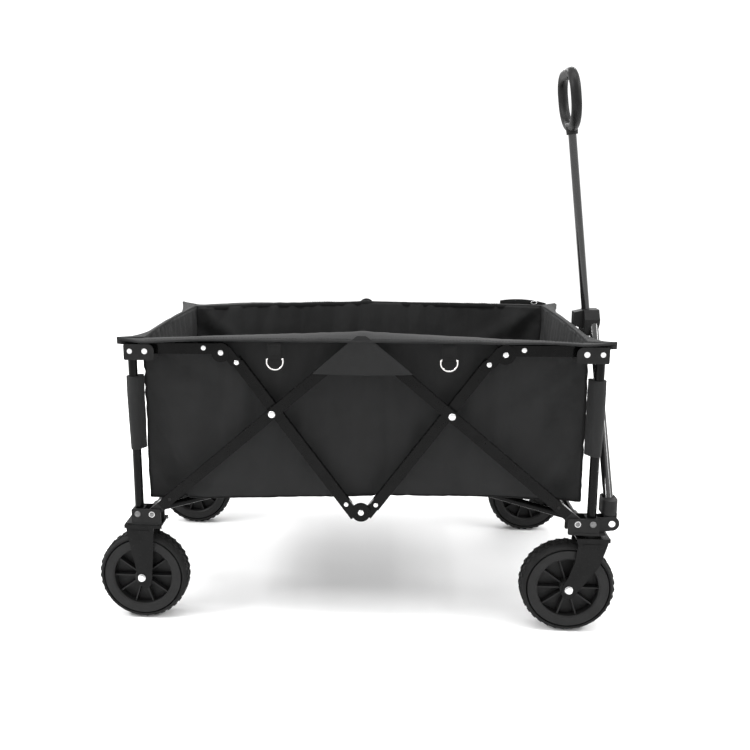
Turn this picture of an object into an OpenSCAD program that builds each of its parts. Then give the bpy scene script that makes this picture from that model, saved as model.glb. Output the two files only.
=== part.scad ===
// Folding camp wagon: soft box on two end frames, scissor links along both
// sides, four wheels and an A-shaped pull handle. Millimetres, +Z up, the
// handle end towards +X, Z = 0 where the wheels stand.

/* [Overall] */
// Middle of the wagon to the centre of each corner post, along X
post_x = 428; // [400:1:460]
// Middle plane to the centre of each corner post
post_y = 252.8; // [240:0.1:262]
// Corner post diameter
post_d = 17; // [14:0.5:22]
// Part to show

/* [Side linkage] */
// Middle of the wagon to the outer pivots of links and rails
pivot_x = 400; // [380:1:410]
// Height of the lower outer pivots
low_z = 218; // [205:1:230]
// Height of the rails' outer pivots
high_z = 537; // [520:1:550]
// Height of the upper middle hinge
top_z = 549; // [540:1:560]
// Height of the lower middle hinge
mid_z = 224.5; // [215:0.5:235]
// Crossing pivot, distance from the middle
cross_x = 166; // [155:1:175]
// Crossing pivot, height
cross_z = 418.5; // [405:0.5:430]
// Rail hinge, distance from the middle
rail_x = 259.5; // [245:0.5:270]
// Rail hinge, height
rail_z = 533.5; // [525:0.5:550]
// Link tube height
link_h = 20; // [16:0.5:24]
// Link tube thickness, along Y
link_t = 12; // [10:0.5:14]
// Link tube wall
link_wall = 1.5; // [1:0.1:2.5]
// Hinge disc diameter
disc_d = 36; // [30:1:42]

/* [Wheels] */
// Tyre radius over the tread
wheel_r = 87.5; // [75:0.5:100]
// Tyre width
wheel_w = 45; // [35:1:60]
// Middle plane to the middle of each wheel
wheel_y = 243; // [230:1:255]
// Rear axle, distance from the middle of the wagon
rear_axle_x = 425; // [400:1:440]
// Caster trail from swivel to axle
trail = 38; // [25:1:50]
// Axle diameter
axle_d = 10; // [8:0.5:14]
// Tread blocks round each row
tread_n = 36; // [24:2:48]
// Radial ribs in each wheel
rib_n = 10; // [6:1:16]

/* [Bag] */
// Underside of the bag
bag_z = 258; // [240:1:280]
// Top of the rim
rim_z = 572; // [555:1:590]
// Half length inside
bag_x = 409.5; // [390:0.5:412]
// Half width outside
bag_y = 236; // [225:0.5:238]
// Cloth thickness with its lining
cloth = 4; // [2:0.5:6]
// Corner tips, distance from the middle
tip_x = 451; // [440:1:465]

/* [Handle] */
// Pivot of the handle's feet, distance from the middle
foot_x = 463; // [455:1:475]
// Leg tube diameter
leg_d = 18; // [15:0.5:22]
// Upper tube diameter
tube_d = 16; // [13:0.5:20]
// Backward lean of the upper tube, degrees
lean = 7.2; // [0:0.1:12]
// Height where the hub holds the upper tube
hub_z = 557; // [530:1:580]
// Height of the grip's lower end along the upper tube from the hub centre
grip_s = 377; // [300:1:420]
// Grip length
grip_h = 127.5; // [100:0.5:160]
// Grip width between the bar centres
grip_w = 119; // [90:1:130]

/* [Hidden] */
$fn = 48;
eps = 0.01;
gap = 0.7;
plate = 2.5;
pin_d = 6;
run = 0.1;
outer_y = 266;
inner_y = 239.7;
a_y = outer_y - 0.8 - link_t / 2;
b_y = a_y - link_t - gap;
half_t = link_t / 2;
a_ang = atan2(cross_z - low_z, pivot_x - cross_x);
b_lo = [28, 240.5];
b_hi = [230.6, 515];
b_ang = atan2(b_hi[1] - b_lo[1], b_hi[0] - b_lo[0]);
swivel_x = post_x;
hub_front = 480.4;
shift_x = (rear_axle_x + wheel_r - hub_front) / 2;
front_axle_x = swivel_x - trail;
base_z = 196.5;
caster_z = 190;
bar_x = 404;
bar_z = 212;
bar_d = 16;
vee_len = 346;
vee_rise = 5.6;
vee_d = 14;
hub_r = 77;
hub_x = 459;
strap_x = 158;
strap_w = 25;

// Children are drawn for the front far corner (x and y outwards) and mirrored
module at(end, side) {
    translate([shift_x, 0, 0])
    mirror([end < 0 ? 1 : 0, 0, 0])
    mirror([0, side < 0 ? 1 : 0, 0])
    children();
}

// Rod along Y from y0 to y1
module rod_y(x, z, d, y0, y1) {
    translate([x, y1, z])
    rotate([90, 0, 0])
    cylinder(d = d, h = y1 - y0);
}

// Flat shape in the XZ plane, as thick as y0 to y1
module slab_y(y0, y1) {
    translate([0, y1, 0])
    rotate([90, 0, 0])
    linear_extrude(y1 - y0)
    children();
}

module rounded_rect(x0, x1, z0, z1, r) {
    translate([x0 + r, z0]) square([x1 - x0 - 2 * r, z1 - z0]);
    translate([x0, z0 + r]) square([x1 - x0, z1 - z0 - 2 * r]);
    for (x = [x0 + r, x1 - r]) {
        for (z = [z0 + r, z1 - r]) {
            translate([x, z]) circle(r);
        }
    }
}

// ---- end frames ----

module post_pair(end) {
    for (side = [-1, 1]) {
        at(end, side)
        difference() {
            translate([post_x, post_y, base_z + 6]) cylinder(d = post_d, h = 344);
            translate([post_x, post_y, base_z + 5]) cylinder(d = post_d - 3, h = 346);
            rod_y(post_x, low_z, pin_d, post_y - 20, post_y + 20);
            rod_y(post_x, high_z, pin_d, post_y - 20, post_y + 20);
        }
    }
}

module crossbar_pair(end) {
    at(end, 1) {
        difference() {
            rod_y(bar_x, bar_z, bar_d, -inner_y + plate, inner_y - plate);
            rod_y(bar_x, bar_z, bar_d - 3, -inner_y, inner_y);
            for (y = [-1, 1]) {
                rod_y(pivot_x, low_z, 13.4, y * 238 - 2, y * 238 + 2);
            }
        }
        difference() {
            rod_y(post_x, high_z, bar_d, -inner_y + plate, inner_y - plate);
            rod_y(post_x, high_z, bar_d - 3, -inner_y, inner_y);
        }
    }
}

// Channel bracket: a solid head round the post and two plates to the pivot
module bracket(z0, z1, pivot_z, round_top) {
    difference() {
        union() {
            for (y = [inner_y - plate, outer_y]) {
                slab_y(y, y + plate)
                difference() {
                    rounded_rect(383, 440, z0, z1, 3);
                    if (round_top) {
                        difference() {
                            translate([382, z1 - 12]) square([13, 13]);
                            translate([395, z1 - 12]) circle(12);
                        }
                    }
                }
            }
            translate([417, inner_y - eps, z0 + 1])
            cube([22, outer_y - inner_y + 2 * eps, z1 - z0 - 2]);
        }
        translate([post_x, post_y, z0 - 5]) cylinder(d = post_d + run, h = z1 - z0 + 10);
        rod_y(pivot_x, pivot_z, pin_d, inner_y - 5, outer_y + 5);
        rod_y(post_x, pivot_z, pin_d, inner_y - 5, outer_y + 5);
    }
}

module top_brackets(end) {
    for (side = [-1, 1]) {
        at(end, side) bracket(520, 550, high_z, true);
    }
}

module base_plate() {
    translate([390, wheel_y - 27, base_z]) cube([62, 52, 3]);
    translate([390, inner_y - plate, base_z]) cube([50, 32, 3.5]);
}

module rear_bottom_bracket() {
    difference() {
        union() {
            bracket(base_z, 228, low_z, false);
            base_plate();
        }
        translate([post_x, post_y, base_z + 6]) cylinder(d = post_d + run, h = 60);
    }
}

module front_bottom_bracket() {
    difference() {
        union() {
            bracket(base_z, 228, low_z, false);
            base_plate();
            for (y = [inner_y + 0.5, 259]) {
                slab_y(y, y + 3) {
                    polygon([[436, 200], [foot_x, low_z - 14], [foot_x, low_z + 14], [436, low_z + 10]]);
                    translate([foot_x, low_z]) circle(14);
                }
            }
            translate([swivel_x, wheel_y, caster_z + 0.4]) cylinder(d = 42, h = base_z - caster_z - 0.4);
            translate([swivel_x, wheel_y, caster_z - 7]) cylinder(d = axle_d, h = 12);
            translate([swivel_x, wheel_y, caster_z - 7.4]) cylinder(d = 18, h = 4);
        }
        translate([post_x, post_y, base_z + 6]) cylinder(d = post_d + run, h = 60);
        rod_y(foot_x, low_z, pin_d, 230, 270);
    }
}

// Rivet with a head on both sides
module rivet(x, z, y0, y1, head_d, head_t) {
    rod_y(x, z, pin_d - 0.02, y0, y1);
    rod_y(x, z, head_d, y1, y1 + head_t);
    rod_y(x, z, head_d, y0 - 1, y0);
}

// Spacer that fills the part of a channel the pivoting end leaves free
module spacer(x, z, y0, y1) {
    difference() {
        rod_y(x, z, 14, y0, y1);
        rod_y(x, z, pin_d + run, y0 - 1, y1 + 1);
    }
}

module corner_rivets(end) {
    y0 = inner_y - plate;
    y1 = outer_y + plate;
    for (side = [-1, 1]) {
        at(end, side) {
            rivet(pivot_x, low_z, y0, y1, 11, 1.8);
            rivet(pivot_x, high_z, y0, y1, 10.5, 1.8);
            rivet(post_x, low_z, y0, y1, 9, 1.8);
            rivet(post_x, high_z, y0, y1, 9.5, 1.8);
            spacer(pivot_x, low_z, inner_y + 0.2, b_y + half_t - 0.2);
            spacer(pivot_x, high_z, a_y - half_t + 0.2, outer_y - 0.2);
        }
    }
}

module foot_rivets() {
    for (side = [-1, 1]) {
        at(1, side) rivet(foot_x, low_z, inner_y + 0.5, 262, 12, 1.8);
    }
}

// ---- forks and axles ----

// Fork: two cheeks of one outline, a top plate with turned-down edges, an embossed rib
module fork(outline, top0, top1, top_z, axle_x) {
    mid = (outline[0][0] + outline[1][0]) / 2;
    difference() {
        union() {
            for (y = [wheel_y - 26.5, wheel_y + 24]) {
                slab_y(y, y + plate) polygon(outline);
            }
            translate([top0, wheel_y - 27.5, top_z - 3]) cube([top1 - top0, 55, 3]);
            for (y = [wheel_y - 27.5, wheel_y + 25]) {
                translate([top0, y, top_z - 7]) cube([top1 - top0, 2.5, 6]);
            }
            slab_y(wheel_y + 26.4, wheel_y + 27.5)
            rounded_rect(mid - 18, mid + 18, top_z - 16, top_z - 11, 2.4);
        }
        rod_y(axle_x, wheel_r, axle_d + run, wheel_y - 40, wheel_y + 40);
    }
}

module axle(x) {
    rod_y(x, wheel_r, axle_d, wheel_y - 31, wheel_y + 28);
    rod_y(x, wheel_r, 15, wheel_y + 26.7, wheel_y + 28.2);
    rod_y(x, wheel_r, 12.5, wheel_y + 28, wheel_y + 32);
    translate([x, wheel_y - 26.7, wheel_r])
    rotate([90, 0, 0])
    cylinder(d = 18.5, h = 6.5, $fn = 6);
}

module rear_fork() {
    fork([
        [398, base_z - 1], [452, base_z - 1], [451, 182], [436, 104], [434, 84],
        [427, 69], [418, 64], [410, 68], [406, 80], [400, 150]
    ], 382, 455, base_z, rear_axle_x);
}

module caster_fork() {
    difference() {
        fork([
            [401, caster_z - 1], [459, caster_z - 1], [457, 178], [444, 136],
            [423, 106], [404.5, 80.5], [397, 70.5], [388, 67], [380, 71],
            [376.5, 80], [379, 95], [388.5, 112], [399, 144], [403, 177]
        ], 400, 461, caster_z, front_axle_x);
        translate([swivel_x, wheel_y, 170]) cylinder(d = axle_d + run, h = 30);
    }
}

// ---- wheels ----

// Round-shouldered tyre with two rows of low slanted tread blocks
module tyre(x) {
    w = wheel_w / 2;
    translate([x, wheel_y, wheel_r])
    rotate([90, 0, 0]) {
        rotate_extrude($fn = 96)
        polygon([
            [hub_r + 0.05, -16], [hub_r + 1, -w + 1.5], [hub_r + 4, -w + 0.5],
            [wheel_r - 4.5, -w + 3], [wheel_r - 1.6, -w + 10],
            [wheel_r - 1.6, w - 10], [wheel_r - 4.5, w - 3],
            [hub_r + 4, w - 0.5], [hub_r + 1, w - 1.5], [hub_r + 0.05, 16]
        ]);
        for (i = [0:tread_n - 1]) {
            for (row = [-1, 1]) {
                rotate([0, 0, -90 + (i + row / 4) * 360 / tread_n])
                translate([wheel_r - 4, 0, row * 6.3])
                rotate([row * 24, 0, 0])
                translate([0, -4.2, -6])
                cube([4 - (row > 0 ? 0 : 0.1), 8.4, 12]);
            }
        }
    }
}

module wheel(x) {
    translate([x, wheel_y, wheel_r])
    rotate([90, 0, 0])
    difference() {
        union() {
            rotate_extrude($fn = 96)
            polygon([
                [57, -19], [60, -21.2], [hub_r - 2, -21.6], [hub_r, -16],
                [hub_r, 16], [hub_r - 2, 21.6], [60, 21.2], [57, 19]
            ]);
            cylinder(r = 58, h = 5, center = true);
            cylinder(r = 15, h = 46.8, center = true);
            for (i = [0:rib_n - 1]) {
                rotate([0, 0, i * 360 / rib_n])
                translate([12, -1.3, -16])
                cube([46.5, 2.6, 32]);
            }
        }
        cylinder(d = axle_d + run, h = 60, center = true);
    }
}

// ---- side links ----

// Rectangular tube between s0 and s1 of the local X axis
module tube_x(s0, s1, y) {
    difference() {
        translate([s0, y - half_t, -link_h / 2]) cube([s1 - s0, link_t, link_h]);
        translate([s0 - 1, y - half_t + link_wall, -link_h / 2 + link_wall])
        cube([s1 - s0 + 2, link_t - 2 * link_wall, link_h - 2 * link_wall]);
    }
}

a_top_s = (pivot_x * cos(a_ang) + (top_z - low_z) * sin(a_ang));
a_top_n = (top_z - low_z) * cos(a_ang) - pivot_x * sin(a_ang);
a_cross_s = sqrt(pow(pivot_x - cross_x, 2) + pow(cross_z - low_z, 2));

// Local frame of an A link: origin at the lower pivot, +X towards the top hinge
module a_frame() {
    translate([pivot_x, 0, low_z])
    rotate([0, a_ang, 0])
    mirror([1, 0, 0])
    children();
}

module link_a() {
    a_frame()
    difference() {
        tube_x(22, a_top_s - 34, a_y);
        rod_y(a_cross_s, 0, pin_d, a_y - 20, a_y + 20);
        rod_y(46, 0, pin_d + run, a_y - 20, a_y + 20);
    }
}

// Moulded ends of an A link. lap = 1: disc on the outer half, -1: tongue inside
module plugs_a(lap) {
    lap0 = lap > 0 ? a_y + 0.2 : a_y - half_t;
    lap1 = lap > 0 ? a_y + half_t : a_y - 0.2;
    a_frame() {
        difference() {
            union() {
                rod_y(0, 0, link_h, a_y - half_t, a_y + half_t);
                translate([0, a_y - half_t, -link_h / 2]) cube([22, link_t, link_h]);
                translate([21.9, a_y - half_t + 1.6, -8.4]) cube([24, link_t - 3.2, 16.8]);
            }
            rod_y(0, 0, pin_d + run, a_y - 20, a_y + 20);
        }
        difference() {
            union() {
                rod_y(a_top_s, a_top_n, lap > 0 ? disc_d : disc_d - 5, lap0, lap1);
                translate([a_top_s - 24, lap0, -link_h / 2 - 1]) cube([24, lap1 - lap0, link_h]);
                translate([a_top_s - 34, a_y - half_t, -link_h / 2]) cube([12, link_t, link_h]);
                translate([a_top_s - 56, a_y - half_t + 1.6, -8.4]) cube([24, link_t - 3.2, 16.8]);
            }
            if (lap < 0) {
                rod_y(a_top_s, a_top_n, pin_d + run, a_y - 20, a_y + 20);
            }
        }
        if (lap > 0) {
            rod_y(a_top_s, a_top_n, pin_d, a_y - half_t - 0.2, a_y + 1);
            rod_y(a_top_s, a_top_n, 10, a_y - half_t - 1, a_y - half_t - 0.2);
        }
        rod_y(a_cross_s, 0, pin_d - 0.02, b_y - half_t, a_y + half_t);
        rod_y(a_cross_s, 0, 13, a_y + half_t, a_y + half_t + 0.9);
        rod_y(a_cross_s, 0, 11, b_y - half_t - 0.9, b_y - half_t - 0.1);
        rod_y(46, 0, pin_d, a_y - half_t + 1.7, a_y + half_t + 0.8);
    }
}

b_len = sqrt(pow(b_hi[0] - b_lo[0], 2) + pow(b_hi[1] - b_lo[1], 2));

// Local coordinates of a point in a B link's frame
function b_local(p) = [
    (p[0] - b_lo[0]) * cos(b_ang) + (p[1] - b_lo[1]) * sin(b_ang),
    -(p[0] - b_lo[0]) * sin(b_ang) + (p[1] - b_lo[1]) * cos(b_ang)
];

// Local frame of a B link: origin at the lower rivet, +X up and outwards
module b_frame() {
    translate([b_lo[0], 0, b_lo[1]])
    rotate([0, -b_ang, 0])
    children();
}

module link_b(lap) {
    low = b_local([0, mid_z]);
    crs = b_local([cross_x, cross_z]);
    top = b_local([rail_x, rail_z]);
    lap0 = lap > 0 ? b_y + 0.2 : b_y - half_t;
    lap1 = lap > 0 ? b_y + half_t : b_y - 0.2;
    b_frame() {
        difference() {
            union() {
                difference() {
                    translate([-6, b_y - half_t, -link_h / 2]) cube([b_len + 4, link_t, link_h]);
                    translate([14, b_y - half_t + link_wall, -link_h / 2 + link_wall])
                    cube([b_len - 34, link_t - 2 * link_wall, link_h - 2 * link_wall]);
                }
                rod_y(low[0], low[1], lap > 0 ? disc_d : disc_d - 5, lap0, lap1);
                translate([low[0], lap0, -link_h / 2]) cube([-low[0] - 5, lap1 - lap0, link_h]);
                translate([b_len - 3, b_y - half_t, -link_h / 2 + 0.6])
                cube([8.2, link_t + gap + 6, link_h - 1.2]);
                translate([b_len, b_y + half_t + gap, -link_h / 2 - 2]) cube([top[0] - b_len, 6, link_h]);
                rod_y(top[0], top[1], disc_d, b_y + half_t + gap, b_y + half_t + gap + 6);
                rod_y(top[0], top[1], 9, b_y + half_t + gap + 5.9, b_y + half_t + gap + 7);
                rod_y(0, 0, 7, b_y, b_y + half_t + 0.5);
                rod_y(low[0], low[1], 9, lap1 - 0.1, lap1 + (lap > 0 ? 0.5 : 0));
            }
            rod_y(crs[0], crs[1], pin_d + run, b_y - 20, b_y + 20);
            translate([b_len - 4, b_y + half_t + gap + 6, -link_h]) cube([11, 20, link_h * 2]);
        }
    }
}

// Top rail: tube, moulded outer end at the bracket and rounded inner end
module rail() {
    up = 2.5;
    difference() {
        union() {
            rod_y(pivot_x, high_z, link_h, b_y - half_t, b_y + half_t);
            translate([rail_x, b_y - half_t, high_z - link_h / 2 + up])
            cube([pivot_x - rail_x, link_t, link_h - up]);
            translate([rail_x, b_y - half_t, high_z]) cube([pivot_x - rail_x - 12, link_t, link_h / 2 + up]);
            rod_y(rail_x, high_z + up, link_h, b_y - half_t, b_y + half_t);
            rod_y(293, high_z + 4, 7, b_y, b_y + half_t + 0.3);
        }
        translate([rail_x + 22, b_y - half_t + link_wall, high_z - link_h / 2 + up + link_wall])
        cube([pivot_x - rail_x - 42, link_t - 2 * link_wall, link_h - 2 * link_wall]);
        rod_y(pivot_x, high_z, pin_d + run, b_y - 20, b_y + 20);
    }
}

// ---- floor frames ----

// Two bars from the lower crossbar towards the middle, joined at their tips
module floor_frame() {
    y_root = 221;
    y_tip = y_root * (1 - vee_len / bar_x);
    bar_ang = atan2(y_root - y_tip, vee_len);
    bar_len = sqrt(pow(vee_len, 2) + pow(y_root - y_tip, 2));
    translate([bar_x, 0, bar_z])
    rotate([0, vee_rise, 0]) {
        for (side = [-1, 1]) {
            mirror([0, side < 0 ? 1 : 0, 0]) {
                difference() {
                    union() {
                        rod_y(0, 0, bar_d + 7, y_root - 14, y_root + 14);
                        translate([0, y_root, 0])
                        rotate([0, 0, 180 + bar_ang])
                        rotate([0, 90, 0])
                        cylinder(d = vee_d, h = bar_len);
                    }
                    rod_y(0, 0, bar_d + run, y_root - 30, y_root + 30);
                }
                translate([-vee_len, y_tip, -8.5]) cylinder(d = 24, h = 17);
            }
        }
        translate([-vee_len - 6, -y_tip, -3]) cube([12, 2 * y_tip, 6]);
    }
}

// ---- bag ----

// Side wall, rim with pointed corners, and the flap over the upper hinge
module bag_side() {
    slab_y(bag_y - cloth, bag_y)
    polygon([
        [-bag_x, bag_z], [bag_x, bag_z], [bag_x, rim_z - 17], [300, rim_z - 13],
        [0, rim_z - 1], [-300, rim_z - 13], [-bag_x, rim_z - 17]
    ]);
    difference() {
        intersection() {
            translate([0, 0, rim_z - 30])
            linear_extrude(32)
            polygon([
                [-408, bag_y - cloth], [408, bag_y - cloth], [tip_x - 3, 269.4],
                [tip_x - 24, 268.6], [-tip_x + 24, 268.6], [-tip_x + 3, 269.4]
            ]);
            slab_y(220, 275)
            polygon([
                [-tip_x, rim_z - 21], [-270, rim_z - 19.5], [-40, rim_z - 14], [40, rim_z - 14],
                [270, rim_z - 19.5], [tip_x, rim_z - 21], [tip_x, rim_z - 15.5],
                [300, rim_z - 11], [0, rim_z], [-300, rim_z - 11], [-tip_x, rim_z - 15.5]
            ]);
        }
        rod_y(0, top_z, disc_d + 8, a_y - half_t - 1.5, outer_y + 0.4);
    }
    slab_y(outer_y + 0.6, outer_y + 2.6)
    polygon([
        [-12, rim_z], [12, rim_z], [92, 512], [88, 496],
        [-84, 496], [-88, 512]
    ]);
}

// End wall with its rim and the sleeves round the two posts
module bag_end() {
    y = bag_y - 3;
    translate([bag_x + 0.4, 0, 0])
    rotate([90, 0, 90])
    linear_extrude(cloth)
    polygon([[-y, bag_z], [y, bag_z], [y, rim_z - 16], [0, rim_z - 7], [-y, rim_z - 16]]);
    intersection() {
        translate([0, 0, rim_z - 30])
        linear_extrude(32)
        polygon([
            [bag_x + 0.4, -bag_y + 4.6], [tip_x - 2.2, -268.6], [436, -205], [428, -110],
            [428, 110], [436, 205], [tip_x - 2.2, 268.6], [bag_x + 0.4, bag_y - 4.6]
        ]);
        translate([bag_x - 10, 0, 0])
        rotate([90, 0, 90])
        linear_extrude(60)
        polygon([
            [-270, rim_z - 21], [270, rim_z - 21], [270, rim_z - 15.5], [200, rim_z - 9],
            [0, rim_z - 5], [-200, rim_z - 9], [-270, rim_z - 15.5]
        ]);
    }
    for (side = [-1, 1]) {
        mirror([0, side < 0 ? 1 : 0, 0]) {
            difference() {
                union() {
                    translate([post_x, post_y, 345]) cylinder(d = 26, h = 142);
                    translate([bag_x + 2, bag_y - 5, 345]) cube([5, 15, 142]);
                }
                translate([post_x, post_y, 340]) cylinder(d = post_d + 0.4, h = 150);
            }
        }
    }
}

module bag_base() {
    y = bag_y - cloth - 0.4;
    translate([-bag_x, -y, bag_z]) cube([2 * bag_x, 2 * y, cloth - 0.3]);
}

// Webbing tab that hangs from the rim on both sides, with a hem round the ring
module strap_pair(end) {
    y = outer_y + 2.9;
    for (side = [-1, 1]) {
        at(end, side)
        difference() {
            union() {
                translate([strap_x - strap_w / 2, y - 2.3, 524]) cube([strap_w, 2, 30.3]);
                translate([strap_x - strap_w / 2, y, 524])
                rotate([0, 90, 0])
                cylinder(d = 4.6, h = strap_w, $fn = 32);
            }
            translate([strap_x - strap_w, y, 524])
            rotate([0, 90, 0])
            cylinder(d = 3.1, h = strap_w * 2, $fn = 32);
        }
    }
}

// Half ring: straight bar through the tab's hem and a round bow below it
module d_ring() {
    translate([strap_x, outer_y + 2.9, 524]) {
        translate([-15, 0, 0])
        rotate([0, 90, 0])
        cylinder(d = 3, h = 30, $fn = 32);
        for (x = [-15, 15]) {
            translate([x, 0, -4.5]) cylinder(d = 3, h = 4.5, $fn = 32);
            translate([x, 0, 0]) sphere(d = 3, $fn = 32);
        }
        translate([0, 0, -4.5])
        rotate([90, 0, 0])
        rotate([0, 0, 180])
        rotate_extrude(angle = 180) translate([15, 0]) circle(d = 3, $fn = 32);
    }
}

// ---- handle ----

leg_low = [462, 243.5, 238];
leg_top = [469.6, 19, 551];
leg_dir = (leg_top - leg_low) / norm(leg_top - leg_low);
leg_len = norm(leg_top - leg_low);
leg_roll = asin(-leg_dir[1]);
leg_pitch = atan2(leg_dir[0], leg_dir[2]);

module leg_line(d, s0, s1) {
    translate(leg_low)
    rotate([0, leg_pitch, 0])
    rotate([leg_roll, 0, 0])
    translate([0, 0, s0])
    cylinder(d = d, h = s1 - s0);
}

module legs() {
    for (side = [-1, 1]) {
        mirror([0, side < 0 ? 1 : 0, 0])
        difference() {
            leg_line(leg_d, 0, leg_len);
            leg_line(leg_d - 3, -1, leg_len + 1);
        }
    }
}

// Moulded foot: tongue between the lug plates and a cup round the leg
module feet() {
    for (side = [-1, 1]) {
        mirror([0, side < 0 ? 1 : 0, 0])
        difference() {
            union() {
                rod_y(foot_x, low_z, 25, 243.8, 258.4);
                translate([foot_x - 12.5, 243.8, low_z]) cube([22, 14.6, 20]);
                for (y = [230, 248.2]) {
                    translate([460.5, y, 232.6]) cylinder(d = 28, h = 28.4);
                }
                translate([446.5, 230, 232.6]) cube([28, 18.2, 28.4]);
            }
            translate([460.5, 228, 243]) cylinder(d = 21, h = 40);
            translate([450, 228, 243]) cube([21, 12, 40]);
            leg_line(leg_d + run, 0, 80);
            rod_y(foot_x, low_z, pin_d + run, 230, 270);
        }
    }
}

module upper_line(d, s0, s1) {
    translate([hub_x, 0, hub_z])
    rotate([0, -lean, 0])
    translate([0, 0, s0])
    cylinder(d = d, h = s1 - s0);
}

// Hub: narrow at the top, round sockets for the legs, latch housing at the back
module hub_block() {
    difference() {
        union() {
            intersection() {
                slab_y(-40, 40) polygon([[450, 531], [475, 527], [hub_front, 556], [hub_front, 581], [450, 581]]);
                translate([440, 0, 0])
                rotate([90, 0, 90])
                linear_extrude(60)
                polygon([[-27, 520], [27, 520], [27, 562], [14, 582], [-14, 582], [-27, 562]]);
            }
            slab_y(-12, 12) polygon([[431, 548], [451, 541], [451, 580], [431, 575.5]]);
        }
        upper_line(tube_d + run, -70, 60);
        for (side = [-1, 1]) {
            mirror([0, side < 0 ? 1 : 0, 0]) {
                leg_line(leg_d + run, 0, leg_len);
                leg_line(leg_d + 4, 0, leg_len - 18);
            }
        }
    }
}

module upper_tube() {
    difference() {
        upper_line(tube_d, -24, grip_s + 20);
        upper_line(tube_d - 2.4, -25, grip_s + 21);
    }
}

// Loop grip across the wagon: tight upper corners, wide lower ones, ridges under the top bar
module grip() {
    bar = 20;
    r_top = 38;
    r_low = 52;
    half = grip_w / 2;
    z_top = grip_h - bar / 2 - r_top;
    z_low = 15 + r_low;
    translate([hub_x, 0, hub_z])
    rotate([0, -lean, 0])
    translate([0, 0, grip_s])
    difference() {
        union() {
            for (side = [-1, 1]) {
                translate([0, side * half, z_low]) cylinder(d = bar, h = z_top - z_low);
                translate([0, side * (half - r_top), z_top])
                rotate([90, 0, 90])
                rotate([0, 0, side > 0 ? 0 : 90])
                rotate_extrude(angle = 90) translate([r_top, 0]) circle(d = bar);
                translate([0, side * (half - r_low), z_low])
                rotate([90, 0, 90])
                rotate([0, 0, side > 0 ? -90 : 180])
                rotate_extrude(angle = 90) translate([r_low, 0]) circle(d = bar);
            }
            translate([0, -half + r_top, grip_h - bar / 2])
            rotate([-90, 0, 0])
            cylinder(d = bar, h = grip_w - 2 * r_top);
            translate([0, -half + r_low, 15])
            rotate([-90, 0, 0])
            cylinder(d = bar, h = grip_w - 2 * r_low);
            cylinder(d1 = 22, d2 = 24, h = 16);
            for (y = [-15, -5, 5, 15]) {
                translate([-6.5, y, grip_h - bar / 2 - 7.2]) rotate([0, 90, 0]) cylinder(d = 8, h = 13);
            }
        }
        translate([0, 0, -1]) cylinder(d = tube_d, h = 21);
    }
}

// ---- parts ----

module rear_posts() { color([0.035, 0.035, 0.037]) post_pair(-1); }
module rear_crossbars() { color([0.035, 0.035, 0.037]) crossbar_pair(-1); }
module rear_top_brackets() { color([0.04, 0.04, 0.042]) top_brackets(-1); }
module rear_bottom_brackets() {
    color([0.04, 0.04, 0.042])
    for (side = [-1, 1]) {
        at(-1, side) rear_bottom_bracket();
    }
}
module rear_rivets() { color([0.8, 0.8, 0.8]) corner_rivets(-1); }
module rear_forks() {
    color([0.035, 0.035, 0.037])
    for (side = [-1, 1]) {
        at(-1, side) rear_fork();
    }
}
module rear_axles() {
    color([0.75, 0.75, 0.75])
    for (side = [-1, 1]) {
        at(-1, side) axle(rear_axle_x);
    }
}
module front_posts() { color([0.035, 0.035, 0.037]) post_pair(1); }
module front_crossbars() { color([0.035, 0.035, 0.037]) crossbar_pair(1); }
module front_top_brackets() { color([0.04, 0.04, 0.042]) top_brackets(1); }
module front_bottom_brackets() {
    color([0.04, 0.04, 0.042])
    for (side = [-1, 1]) {
        at(1, side) front_bottom_bracket();
    }
}
module front_rivets() {
    color([0.8, 0.8, 0.8]) {
        corner_rivets(1);
        foot_rivets();
    }
}
module caster_fork_near() { color([0.035, 0.035, 0.037]) at(1, -1) caster_fork(); }
module caster_fork_far() { color([0.035, 0.035, 0.037]) at(1, 1) caster_fork(); }
module front_axle_near() { color([0.75, 0.75, 0.75]) at(1, -1) axle(front_axle_x); }
module front_axle_far() { color([0.75, 0.75, 0.75]) at(1, 1) axle(front_axle_x); }
module tyre_rear_near() { color([0.03, 0.03, 0.03]) at(-1, -1) tyre(rear_axle_x); }
module tyre_rear_far() { color([0.03, 0.03, 0.03]) at(-1, 1) tyre(rear_axle_x); }
module tyre_front_near() { color([0.03, 0.03, 0.03]) at(1, -1) tyre(front_axle_x); }
module tyre_front_far() { color([0.03, 0.03, 0.03]) at(1, 1) tyre(front_axle_x); }
module wheel_rear_near() { color([0.05, 0.05, 0.052]) at(-1, -1) wheel(rear_axle_x); }
module wheel_rear_far() { color([0.05, 0.05, 0.052]) at(-1, 1) wheel(rear_axle_x); }
module wheel_front_near() { color([0.05, 0.05, 0.052]) at(1, -1) wheel(front_axle_x); }
module wheel_front_far() { color([0.05, 0.05, 0.052]) at(1, 1) wheel(front_axle_x); }
module link_a_rear_near() { color([0.035, 0.035, 0.037]) at(-1, -1) link_a(); }
module link_a_front_near() { color([0.035, 0.035, 0.037]) at(1, -1) link_a(); }
module link_a_rear_far() { color([0.035, 0.035, 0.037]) at(-1, 1) link_a(); }
module link_a_front_far() { color([0.035, 0.035, 0.037]) at(1, 1) link_a(); }
module plugs_a_rear_near() { color([0.04, 0.04, 0.042]) at(-1, -1) plugs_a(1); }
module plugs_a_front_near() { color([0.04, 0.04, 0.042]) at(1, -1) plugs_a(-1); }
module plugs_a_rear_far() { color([0.04, 0.04, 0.042]) at(-1, 1) plugs_a(1); }
module plugs_a_front_far() { color([0.04, 0.04, 0.042]) at(1, 1) plugs_a(-1); }
module link_b_rear_near() { color([0.035, 0.035, 0.037]) at(-1, -1) link_b(1); }
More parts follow.
